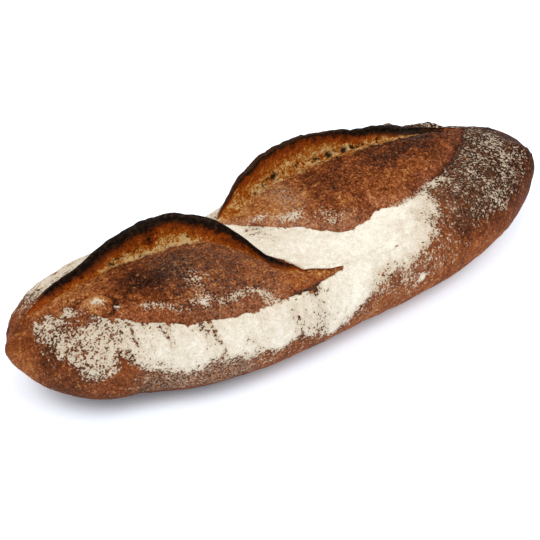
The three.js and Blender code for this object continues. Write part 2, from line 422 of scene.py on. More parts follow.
# Relief over the smooth form: height, size of the lumps, octaves and seed of each layer
reliefSet = {
    "crust": [(0.7, 26, 3, 3.1), (0.25, 5, 3, 17.7)],
    "crumb": [(0.9, 9, 3, 41.3), (0.7, 2.8, 2, 5.9)],
    "crumbTo": (0, 0.4),  # shares of the wall's height where the crumb's relief fades
    "wall": [(0.5, 3.4, 2, 29.0)],
    "wallSpan": (0, 0.2, 0.6, 1),
    "patches": {"broad": (38, 2, 52.0), "coarse": (14, 2, 61.0), "middling": (5, 2, 77.0),
                "fine": (2.2, 2, 83.0)},  # uneven patches of colour: size, octaves, seed
    "tornWander": (1.7, 0.8),  # the torn edge wanders by middling and fine lumps
    "tornReach": 6,
    "tornEdge": (-0.5, 1.0),
    "noise": (0.9, 2.0),  # loss and fineness of each octave
    "offFloor": (1, 9),  # heights over which the relief sets in, so that the base stays flat
    "flourDepth": (0.4, 0.8, 0.35),  # covers from and to, depth
}
# Bubbles cut open in the walls and painted dark inside as shade: x, rows above the foot, radius; then small
# ones, how many and where
poreSet = {
    "far": {"large": [(1, 2, 2.0), (-8, 1, 0.9), (34, 1, 0.9), (43, 1, 1.9), (55, 1, 1.6), (62, 1, 1.3),
                      (71, 1, 0.8)],
            "count": 40, "along": (-24, 90), "rows": (-3, 4)},
    "near": {"large": [], "count": 12, "along": (-142, -62), "rows": (0, 9)},
    "small": 0.5,
    "smallRange": (0.8, 1.6),
    "edge": (0.3, 1.8),  # shares of the radius where a bubble is deepest and ends
    "depth": 1.4,
    "long": 1.5,
    "uneven": 0.4,
    "unevenLumps": (2.4, 2, 93.0),
    "seed": 4,
}


def gridNormals(grid):
    normal = np.cross(np.gradient(grid, axis=1), np.roll(grid, -1, 0) - np.roll(grid, 1, 0))
    return normal / np.maximum(np.linalg.norm(normal, axis=2, keepdims=True), 1e-9)


def lumps(size, octaves, seed):
    flat = (points / size + seed).reshape(-1, 3).tolist()
    return np.array([noise.fractal(p, *reliefSet["noise"], octaves) for p in flat]).reshape(w.shape)


def layered(layers):
    return sum(height * lumps(size, octaves, seed) for height, size, octaves, seed in layers)


broad, coarse, middling, fine = [lumps(*patch) for patch in reliefSet["patches"].values()]
tornWander = reliefSet["tornWander"][0] * middling + reliefSet["tornWander"][1] * fine
gap = skin["gap"] + tornWander * (skin["gap"] < reliefSet["tornReach"])
opened = ramp(gap, *reliefSet["tornEdge"])  # 1 on the open crumb, 0 on the crust
onCrumb = opened * fade(skin["climb"], *reliefSet["crumbTo"])
height = lerp(layered(reliefSet["crust"]), layered(reliefSet["crumb"]), onCrumb)
for nubX, nubY, nubZ, radius, up in loafForm["nubs"]:
    away = np.linalg.norm(points - (nubX, nubY + midline(nubX), nubZ), axis=2)
    height += bell(away, 0, radius, up)
height += layered(reliefSet["wall"]) * stretch(skin["climb"], *reliefSet["wallSpan"])
print("relief worked out")

# Flour on the crust. A cover is bare below 0, half speckled at 0.5 and closed over 1
flourSet = {
    "edge": [(-186, 60), (-181, 42), (-173, 41), (-170, 30), (-162, 33), (-156, 38), (-150, 44),
             (-142, 39), (-134, 34), (-126, 30), (-116, 28), (-107, 31), (-101, 35), (-95, 31), (-78, 29),
             (-62, 28), (-48, 25), (-36, 23), (-25, 21), (-14, 25), (-4, 34), (13, 45), (39, 48), (60, 56),
             (72, 59), (92, 66), (190, 66)],  # x and z of its lower edge along the front
    "edgeDeep": (-8, 7),  # heights over that edge where it begins and is full
    "ragged": (2.5, 2.0),  # edges wander by coarse and middling lumps
    "softness": 1.3,  # how much softer the edge is within the span
    "softSpan": (-20, 10, 60, 80),
    "thickness": (1.05, 1.5),
    "thickens": (-60, 30),
    "thickLumps": (0.2, 0.12),
    "left": [(-178, 0.49), (-158, 0.63), (-142, 0.86), (-122, 1.0)],  # x and share of the cover
    "leftFrom": (-183, -173),
    "leftLean": 0.5,
    "rightFade": (58, 94, 0.75),
    "rightRagged": 1.5,
    "lastFade": (86, 110, 0.25),
    "cracks": [(-98, 26, 56, 0.4), (-124, 42, 54, 0.35), (-138, 48, 58, 0.4), (-72, 48, 54, 0.3),
               (-14, 30, 42, 0.3)],  # x, z from, z to, depth
    "crackHalf": 1.3,
    "crackWander": (5, 2),
    "crackFade": 4,
    "thin": [(-146, -32, 7, 7, 0.3), (-131, -36, 4, 5, 0.4), (-104, -50, 4, 7, 0.35),
             (-122, -45, 3, 5, 0.3), (-48, -59, 8, 6, 0.25), (-33, -60, 8, 6, 0.3), (-155, -13, 9, 6, 0.5),
             (-36, -2, 9, 9, 0.3), (-30, -16, 10, 8, 0.2), (1, -28, 10, 3, 0.25),
             (-33, -53, 5, 2.5, 0.9)],  # x, y, half sizes, depth
    "worn": (-1, 3, 0.5),  # along the opening's edge: middle, half width, depth
    "wornPatches": (-0.2, 0.8),
    "wornTo": (-100, -70),
    "rear": {"cover": 0.78, "broad": 0.3, "coarse": 0.2, "up": (16, 46), "upRagged": 2,
             "from": (-184, -150), "to": (30, 120), "toRagged": 4, "behind": (0.15, 0.5),
             "bridge": (-75, -50)},
    "rightEnd": {"cover": 0.35, "lumps": (0.18, 0.12), "from": (56, 84), "to": (148, 170), "up": (34, 46),
                 "farther": (40, 48, 11), "lower": (-5, 10, 14),  # farther on top, lower at the back
                 "spots": [(86, -46, 16, 13, -0.25), (80, -21, 8, 5, 0.5)]},
    "sandy": {"cover": 0.17, "lumps": (0.1, 0.08), "up": (4, 16), "left": (-165, -120), "leftShare": 0.2,
              "right": (70, 110), "rightShare": 0.3},  # specks all over
    "spill": {"bell": (32, 38, 0.23), "up": (18, 38), "ragged": 2},  # specks below the closed flour
    "fallen": {"cover": (0.1, 0.03), "less": (-95, -75, -10, 10), "up": (-18, -2),
               "span": (-150, -120, 20, 60)},  # more just under the edge
    "lowLine": {"bell": (20, 2.5, 0.06), "span": (-95, -75, -20, 0)},
    "clump": {"x": 43, "z": 30, "radius": 2.4, "cover": 1.0},
    "shut": (0.8, 0.86),  # shares of the near slash past which it covers the lip too
    "underUp": (4, 14),
    "bare": -0.5,
}
# Flour that lies on the open crumb
crumbDust = {
    "creaseAt": 9.5,  # distance from the torn edge of the line where it gathers
    "creaseNearer": (-75, -58, -4.5),
    "creaseWander": 1.5,
    "crease": (3.6, 0.72),  # half width and cover
    "creaseBreaks": (-1.5, 0.3),
    "nearCrease": (-140, -122, -62, -50),
    "nearCreaseMore": (-108, 20, 0.35),
    "farCrease": 0.6,
    "farCreaseTo": (25, 50),
    "nearSpots": [(-94, -26, 9, 12, 0.5), (-137.5, -21, 2.4, 2.2, 1.1)],
    "farSpots": [(5, -16, 6, 6, 0.6), (-13, -5, 9, 4, 0.75), (-31, 6, 10, 3, 0.65)],
    "blisterAlong": (2, 6, 1.2),
    "blisterAcross": (-0.5, 2, 1),
    "strewn": 0.25,
    "nearStrewn": (-112, -92, -60, -48),
    "farStrewnTo": (0, 60),
    "nearEdge": (0, 3, 0.7),
    "nearEdgeSpan": (-72, -62, -52, -46),
    "farEdge": (0, 4.5, 1.1),
    "farEdgeSpan": (35, 50, 78, 90),
    "fromWall": (2, 12),
    "least": -0.35,
    "lumps": 0.15,
}


def spots(patches):
    return sum(amount * np.exp(-(((x - px) / rx) ** 2 + ((v - py) / ry) ** 2))
               for px, py, rx, ry, amount in patches)


def steps(parts):
    return sum(step(x, *part) for part in parts)


def mottle(coarseShare, middlingShare):
    return coarseShare * coarse + middlingShare * middling


def crustFlour():
    f = flourSet
    ragged = mottle(*f["ragged"])
    edge = linesThrough(f["edge"], x)
    left = linesThrough(f["left"], x) * ramp(x - f["leftLean"] * v + ragged, *f["leftFrom"])
    right = 1 - step(x + f["rightRagged"] * ragged, *f["rightFade"]) - step(x, *f["lastFade"])
    thick = lerp(*f["thickness"], ramp(x, *f["thickens"])) + mottle(*f["thickLumps"])
    soft = 1 + f["softness"] * stretch(x, *f["softSpan"])
    front = thick * ramp((z - edge + ragged) / soft, *f["edgeDeep"]) * left * right
    ends = f["crackFade"]
    for at, low, high, depth in f["cracks"]:
        line = bell(x, at + mottle(*f["crackWander"]), f["crackHalf"], depth)
        front -= line * stretch(z, low - ends, low + ends, high - ends, high + ends) * inFront
    worn = bell(skin["gap"], *f["worn"]) * fade(x, *f["wornTo"])
    front = front - spots(f["thin"]) - worn * ramp(coarse + middling, *f["wornPatches"])
    rear = f["rear"]
    back = rear["cover"] + rear["broad"] * broad + rear["coarse"] * coarse
    back = back * ramp(z + rear["upRagged"] * ragged, *rear["up"])
    back = back * ramp(x + ragged, *rear["from"]) * fade(x + rear["toRagged"] * ragged, *rear["to"])
    behind = ramp(v / halfWidth(x), *rear["behind"]) * (1 - (zone == "bridge") * ramp(x, *rear["bridge"]))
    crust = lerp(front, back, behind)
    end = f["rightEnd"]
    tip = end["cover"] + mottle(*end["lumps"]) + spots(end["spots"])
    tip = tip * ramp(x + ragged, *end["from"]) * fade(x + ragged - step(z, *end["farther"]), *end["to"])
    crust = np.maximum(crust, tip * ramp(z + ragged + step(v, *end["lower"]), *end["up"]))
    sand, spill, fallen, low = f["sandy"], f["spill"], f["fallen"], f["lowLine"]
    sandy = (sand["cover"] + mottle(*sand["lumps"])) * ramp(z, *sand["up"])
    sandy = sandy * lerp(sand["leftShare"], 1, ramp(x, *sand["left"]))
    sandy += bell(x, *spill["bell"]) * ramp(z + spill["ragged"] * ragged, *spill["up"]) * inFront
    below = lerp(*fallen["cover"], stretch(x, *fallen["less"])) * ramp(z - edge + ragged, *fallen["up"])
    sandy += below * stretch(x, *fallen["span"]) * inFront
    sandy += bell(z, *low["bell"]) * stretch(x, *low["span"]) * inFront
    crust = np.maximum(crust, sandy * lerp(1, sand["rightShare"], ramp(x, *sand["right"])))
    clump = f["clump"]
    away = np.hypot(x - clump["x"], z - clump["z"])
    return crust + bell(away, 0, clump["radius"], clump["cover"]) * inFront


def crumbFlour():
    f = crumbDust
    creaseAt = f["creaseAt"] + step(x, *f["creaseNearer"]) * isNear + f["creaseWander"] * coarse
    crease = bell(skin["gap"], creaseAt, *f["crease"]) * ramp(middling + coarse, *f["creaseBreaks"])
    nearCrease = stretch(x, *f["nearCrease"]) + bell(x, *f["nearCreaseMore"])
    crease = crease * np.where(isNear, nearCrease, f["farCrease"] * fade(x, *f["farCreaseTo"]))
    onBlister = bell(blisterAlong, *f["blisterAlong"]) * bell(blisterAcross, *f["blisterAcross"])
    strewn = f["strewn"] * np.where(isNear, stretch(x, *f["nearStrewn"]), fade(x, *f["farStrewnTo"]))
    nearEdge = bell(skin["gap"], *f["nearEdge"]) * stretch(x, *f["nearEdgeSpan"])
    farEdge = bell(skin["gap"], *f["farEdge"]) * stretch(x, *f["farEdgeSpan"])
    cover = crease + onBlister + strewn + np.where(isNear, nearEdge, farEdge)
    cover = cover + spots(f["nearSpots"]) + spots(f["farSpots"]) * isFar
    cover = cover * ramp(skin["valley"], *f["fromWall"]) + f["least"] + f["lumps"] * coarse
    return np.where(skin["climb"] > 0, flourSet["bare"], cover)


def paintFlour():
    shut = isNear * (skin["climb"] >= 1) * ramp(skin["s"], *flourSet["shut"])
    cover = lerp(crustFlour(), crumbFlour(), opened * (1 - shut)) * (1 - skin["char"]) - skin["char"]
    return np.where(zone == "under", lerp(flourSet["bare"], cover, ramp(z, *flourSet["underUp"])), cover)


# Thin dust that greys the surface: with the flour, low on the front, at the right end and on the crumb
hazeSet = {
    "flour": (0.1, 0.7, 0.07),  # covers from and to, haze
    "flourTo": (50, 80),
    "leftFlour": (0, 0.4, 0.12),
    "leftSpan": (-150, -125, -95, -75),
    "rightFlour": (0.15, 0.7, 0.14),
    "rightSpan": (-30, 5, 70, 90),
    "low": 0.18,
    "lowUp": (8, 20, 34, 42),
    "lowLeft": (-150, -125),
    "lowLeftShare": 0.1,
    "lowFades": [(-90, -60, 0.8), (0, 50, 0.2)],
    "end": 0.05,
    "endSpan": (60, 85, 115, 140),
    "endUp": (40, 50),
    "nearCrumb": (-118, -95, 0.06),
    "farSpots": [(-7, 12, 8, 16, 0.25)],
    "farEdge": (5, 5, 0.12),
    "farEdgeTo": (10, 30),
}


def paintHaze():
    h = hazeSet
    low = lerp(h["lowLeftShare"], 1, ramp(x, *h["lowLeft"])) * (1 - steps(h["lowFades"]))
    crust = step(flour, *h["flour"]) * fade(x, *h["flourTo"])
    crust += h["low"] * low * stretch(z, *h["lowUp"]) * inFront
    crust += step(flour, *h["leftFlour"]) * stretch(x, *h["leftSpan"]) * inFront
    crust += step(flour, *h["rightFlour"]) * stretch(x, *h["rightSpan"]) * inFront
    crust += h["end"] * stretch(x, *h["endSpan"]) * ramp(z, *h["endUp"])
    farCrumb = spots(h["farSpots"]) + bell(skin["gap"], *h["farEdge"]) * fade(x, *h["farEdgeTo"])
    crumb = step(x, *h["nearCrumb"]) * isNear + farCrumb * isFar
    return lerp(crust, crumb * (skin["climb"] == 0), opened)


# How pale the browned surface is, 0 black to 1 straw: where it starts, and what makes it paler or darker,
# some of it painted shade
toneSet = {
    "crust": 0.44,
    "crustBroad": 0.07,
    "crustLumps": (0.08, 0.06),
    "crustSteps": [(-40, 60, 0.05), (90, 125, -0.08), (125, 170, -0.06)],  # x from, x to, change
    # the last crust spot, dark at the crack under the near opening's pointed end, is painted shade
    "crustSpots": [(-178, -19, 9, 6, -0.07), (-188, -8, 5, 8, 0.1), (98, -36, 14, 14, -0.08),
                   (-33, -53, 6, 4, -0.2)],
    "rightTop": (58, 88, -0.19),
    "rightTopUp": (32, 50),
    "rightTopLumps": 3,
    "rightTopLower": (-5, 10, 10),
    # painted shade: the crust is darker low down at the left foot and low on the front flank
    "leftFootShade": (-150, 25, -0.14),
    "leftFootShadeTo": (14, 36),
    "lowFrontShade": -0.1,
    "lowFrontShadeSpan": (-150, -125, -90, -60),
    "lowFrontShadeTo": (30, 40),
    # painted shadow: a dark line on the crust along the far opening's front edge at the right
    "farTipShadow": (0, 3, -0.2),
    "farTipShadowFrom": (84, 100),
    "least": 0.24,
    "leftTip": -0.03,
    "leftTipTo": (-178, -160),
    "rightTip": (150, 175, -0.05),
    "underFlour": (0.2, 0.5, -0.1),
    "nearCrumb": 0.58,
    "nearSteps": [(-140, -114, -0.18), (-75, -45, 0.09)],
    "nearSpots": [(-121, -13, 22, 14, -0.28), (-96, -8, 15, 11, -0.1)],
    # painted shade: the crumb is darker along the crack under the near opening's pointed end
    "nearTearShade": (0, 1.8, -0.3),
    "farCrumb": 0.64,
    "farSteps": [(-30, 15, -0.16), (30, 110, -0.15)],
    "farTop": (14, 30, -0.1),
    "farTopFrom": (-5, 20),
    "farSpots": [(80, -8, 22, 8, 0.14)],
    # painted shadow: a dark line on the crumb along its front edge at the right, where it stands above the
    # crust
    "farEdge": (0, 2, -0.35),
    "farEdgeShadowFrom": (60, 90),
    "crumbLumps": (0.1, 0.1),
    # painted shade: a dark ring in the moat round the blister
    "blisterRimShade": (8.3, 1.4, -0.26),
    "blisterTop": (0, 6.5, 0.2),
    "redStrip": (3, 6, 1.0),  # redder crumb along the torn edge
    "redBlister": (0, 11, 0.8),
}


def paintTone():
    c = toneSet
    crust = c["crust"] + c["crustBroad"] * broad + mottle(*c["crustLumps"])
    crust = crust + steps(c["crustSteps"]) + spots(c["crustSpots"])
    topHeight = z + c["rightTopLumps"] * coarse + step(v, *c["rightTopLower"])
    crust += step(x, *c["rightTop"]) * ramp(topHeight, *c["rightTopUp"])
    # painted shade low at the left foot and low on the front
    crust += bell(x, *c["leftFootShade"]) * fade(z, *c["leftFootShadeTo"])
    crust += c["lowFrontShade"] * stretch(x, *c["lowFrontShadeSpan"]) * fade(z, *c["lowFrontShadeTo"]) * inFront
    # painted shadow along the far opening's front edge at the right
    crust += bell(skin["gap"], *c["farTipShadow"]) * ramp(x, *c["farTipShadowFrom"])
    crust = np.maximum(crust, c["least"]) + c["leftTip"] * fade(x, *c["leftTipTo"])
    crust += step(x, *c["rightTip"])
    nearCrumb = c["nearCrumb"] + steps(c["nearSteps"]) + spots(c["nearSpots"])
    # painted shade in the crack under the near opening's pointed end
    nearCrumb += bell(skin["gap"], *c["nearTearShade"]) * stretch(x, *nearSlash["tear"])
    farCrumb = c["farCrumb"] + steps(c["farSteps"]) + spots(c["farSpots"])
    farCrumb += step(skin["gap"], *c["farTop"]) * ramp(x, *c["farTopFrom"])
    # painted shadow along the far crumb's front edge at the right
    farCrumb += bell(skin["gap"], *c["farEdge"]) * ramp(x, *c["farEdgeShadowFrom"])
    crumb = np.where(isNear, nearCrumb, farCrumb) + mottle(*c["crumbLumps"])
    # painted shade in the blister's moat
    crumb = crumb + bell(blisterGap, *c["blisterRimShade"]) + bell(blisterGap, *c["blisterTop"])
    return lerp(crust + step(flour, *c["underFlour"]), crumb, opened)


# Golden torn crumb: where it shows, and how far it has baked from gold at 0 to soot at 1
tornSet = {
    "reachLumps": (2, 1.5),
    "reachLeast": 0.1,
    "reachSpan": (0.3, 1.2),  # shares of the reach over which it fades out on the crumb
    "rightEnd": (0.72, 0.82),  # it fills both pointed ends of the near opening
    "leftEnd": (0.13, 0.2),
    "endShare": (0.35, 0.7),
    "endShareFrom": (0.4, 0.6),
    "blister": (0, 11, 0.9),
    "farTo": (0.84, 0.93),
    "nearBaked": 0.3,
    "nearBakedSteps": [(-138, -100, -0.3), (-82, -62, 0.36), (-52, -40, -0.06)],
    "farBaked": 0.15,
    "bakedLess": 0.6,
    "lumps": (0.14, 0.16),
    "blotch": (-95, 3, 0.4),
    "blotchUp": (0.3, 0.25, 1),
    # painted shade: the crumb bakes darker along the crack under the near opening's pointed end
    "tear": (0.5, 2.2, 0.8),
}


def paintTorn():
    g = tornSet
    wall = (skin["climb"] > 0) & (skin["rim"] <= 0)
    reachOut = np.maximum(skin["gold"] + mottle(*g["reachLumps"]), g["reachLeast"])
    onCrumb = fade(skin["valley"], *[part * reachOut for part in g["reachSpan"]]) * (skin["rim"] < 0)
    pointed = np.maximum(ramp(skin["s"], *g["rightEnd"]), fade(skin["s"], *g["leftEnd"])) * isNear
    pointed = pointed * lerp(*g["endShare"], ramp(skin["s"], *g["endShareFrom"]))
    share = np.maximum(np.where(wall, 1.0, onCrumb), pointed) * opened * (1 - skin["slit"])
    share = share * (1 - bell(blisterGap, *g["blister"])) * (1 - isFar * ramp(skin["s"], *g["farTo"]))
    scorch = np.where(wall, skin["scorch"], 0)
    nearBaked = g["nearBaked"] + steps(g["nearBakedSteps"])
    browner = np.where(isNear, nearBaked, g["farBaked"])
    baked = scorch + browner * (1 - g["bakedLess"] * scorch) + mottle(*g["lumps"])
    baked += bell(x, *g["blotch"]) * bell(skin["climb"], *g["blotchUp"]) * isNear
    # painted shade along the crack under the near opening's pointed end
    tear = stretch(x, *nearSlash["tear"]) * isNear * (skin["climb"] == 0)
    return share, baked + bell(skin["gap"], *g["tear"]) * tear


def cutPores():
    p = poreSet
    draw = np.random.default_rng(p["seed"])
    uneven = 1 + p["uneven"] * lumps(*p["unevenLumps"])
    depth = np.zeros_like(w)
    for name in ("far", "near"):
        wall = p[name]
        foot = np.flatnonzero(zone[:, 0] == name)[0] + 1 + rows["crumb"]
        small = [(draw.uniform(*wall["along"]), draw.integers(*wall["rows"]),
                  p["small"] * draw.uniform(*p["smallRange"])) for k in range(wall["count"])]
        for at, up, radius in wall["large"] + small:
            middle = points[foot + up, np.argmin(np.abs(ringX - at))]
            away = np.linalg.norm((points - middle) / (p["long"], 1, 1), axis=2) * uneven
            depth = np.maximum(depth, fade(away, *[part * radius for part in p["edge"]]))
    return np.maximum(depth, skin["slit"])


flour = paintFlour()
torn, baked = paintTorn()
pores = cutPores()
red = bell(skin["gap"], *toneSet["redStrip"]) * opened * (1 - torn)
red = red * (1 - bell(blisterGap, *toneSet["redBlister"]))
# poreShade: the pores and the slit, painted dark as the shade inside them
fields = {"flour": flour, "haze": paintHaze(), "tone": paintTone(), "torn": torn, "baked": baked,
          "char": skin["char"], "red": red, "poreShade": pores, "crumb": opened}
height = height + step(flour, *reliefSet["flourDepth"]) - poreSet["depth"] * pores
points += gridNormals(points) * (height * ramp(z, *reliefSet["offFloor"]))[..., None]
points[..., 2] = np.maximum(points[..., 2], 0)
print("colour fields painted:", ", ".join(fields))


def addObject(name, data):
    thing = bpy.data.objects.new(name, data)
    bpy.context.scene.collection.objects.link(thing)
    return thing


def buildLoaf():
    ringPoints = points.transpose(1, 0, 2).reshape(-1, 3)
    tips = [points[:, k].mean(0) + (side * loafForm["tipOut"], 0, 0) for k, side in ((0, -1), (-1, 1))]
    allPoints = np.concatenate([ringPoints, tips])
    low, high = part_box("loaf")
    cadMiddle = (low[1] + high[1]) / 2 / mm
    allPoints[:, 1] += cadMiddle - (y.min() + y.max()) / 2
    count = w.shape[0]
    ring, row = np.meshgrid(np.arange(loafForm["rings"] - 1), np.arange(count), indexing="ij")
    a = ring * count + row
    b = ring * count + (row + 1) % count
    faces = np.stack([a, a + count, b + count, b], 2).reshape(-1, 4).tolist()
    first, last = len(ringPoints), len(ringPoints) + 1
    end = (loafForm["rings"] - 1) * count
    for k in range(count):
        after = (k + 1) % count
        faces.append((first, k, after))
        faces.append((last, end + after, end + k))
    mesh = bpy.data.meshes.new("loafSkin")
    mesh.from_pydata((allPoints * mm).tolist(), [], faces)
    for name, field in fields.items():
        layer = mesh.attributes.new(name, "FLOAT", "POINT")
        values = np.concatenate([np.asarray(field, float).T.reshape(-1), field[0, [0, -1]]])
        layer.data.foreach_set("value", values.astype(np.float32))
    mesh.polygons.foreach_set("use_smooth", np.ones(len(mesh.polygons), bool))
    mesh.update()
    return addObject("loafCrust", mesh)


def linear(hexColour):
    parts = [int(hexColour[k:k + 2], 16) / 255 for k in (1, 3, 5)]
    return [c / 12.92 if c <= 0.04045 else ((c + 0.055) / 1.055) ** 2.4 for c in parts] + [1.0]


def perSize(size):
    return 1 / (size * mm)  # scale of a pattern whose features are this many millimetres


def emptyMaterial(name):
    material = bpy.data.materials.new(name)
    material.use_nodes = True
    material.node_tree.nodes.clear()
    return material, material.node_tree


def addNode(tree, kind, links, out=0, **settings):
    node = tree.nodes.new(kind)
    for k, (place, colour) in enumerate(settings.pop("stops", ())):
        stop = node.color_ramp.elements[k] if k < 2 else node.color_ramp.elements.new(place)
        stop.position = place
        stop.color = linear(colour)
    for name, value in settings.items():
        setattr(node, name, value)
    for socket, value in links.items():
        if isinstance(value, bpy.types.NodeSocket):
            tree.links.new(value, node.inputs[socket])
        else:
            node.inputs[socket].default_value = value
    return node if out is None else node.outputs[out]


crustLook = {
    # sizes of the speckles, millimetres; grains of flour are too fine to show, so dust is drawn coarser
    "speckle": {"grit": 1.1, "freckle": 2.4, "blotch": 6.5, "streak": 2.4, "dust": 1.5, "fineDust": 1.1,
                "drift": 3.2},
    "speckleDetail": 3,
    "speckleRough": 0.55,
    "upright": (1, 1, 0.3),  # draws the streaks out in height
    "elsewhere": (0.5, 0.3, 0.7),  # the flour's speckles come from another place than the crust's
    # sums of speckles: a start, then the weight of each
    "sums": {"grain": (-0.6, {"grit": 0.6, "freckle": 0.4, "blotch": 0.2}),
             "streaked": (0.15, {"streak": -0.3}),
             "lying": (-2.05, {"dust": 2.0, "fineDust": 1.2, "drift": 0.9}),
             "sifted": (-2.0, {"fineDust": 3.2, "drift": 0.8}),
             "depth": (-0.95, {"drift": 0.8, "grit": 1.0})},
    "contrast": {"To Min": 1.1, "To Max": 1.7},  # of the grain, on crust and on crumb
    "goldContrast": -1.9,
    # patches with a grainy edge: how grainy, then where the edge begins and is full
    "edges": {"torn": (2.0, 0.15, 0.85), "char": (1.2, 0.15, 0.85), "poreShade": (-1.0, 0.25, 0.9)},
    "sand": {"From Min": 0.43, "From Max": 0.62, "To Max": 2.4},
    "flourEdge": {"From Min": 0.44, "From Max": 0.58},
    "thinFlour": {"From Min": 0.3, "From Max": 1.0, "To Min": 0.78},  # how much of a thin cover shows
    "flourPale": 0.62,  # the deeper the flour, the paler
    "browned": [(0.0, "#140A05"), (0.2, "#3C1C0C"), (0.35, "#622F13"), (0.5, "#88461F"), (0.64, "#A96936"),
                (0.85, "#CB985C")],
    "reddish": [(0.0, "#24110A"), (0.3, "#67331A"), (0.5, "#90502E"), (0.68, "#B6744C"), (0.9, "#D0A07A")],
    "gold": [(0.0, "#D2AE78"), (0.12, "#B68444"), (0.25, "#A15A17"), (0.4, "#924009"), (0.6, "#7C340A"),
             (0.76, "#5C2709"), (0.9, "#2C1408"), (1.0, "#150D09")],
    "flour": [(0.0, "#AC9175"), (0.16, "#CBB69B"), (0.4, "#DCCDB5"), (0.7, "#EBE1CF"), (0.95, "#FBF4E2")],
    "veil": "#BDA78E",
    "char": [(0.32, "#120C09"), (0.5, "#20160F"), (0.7, "#3C2B20")],
    # painted shade inside the pores and the slit
    "poreShade": "#301C0D",
    "roughness": {"To Min": 0.66, "To Max": 0.95},  # of crust and of flour
    "surface": {"IOR": 1.45, "Specular IOR Level": 0.05},
    "flourRaised": 0.4,
    "bump": {"Strength": 0.6, "Distance": 0.8 * mm},
}


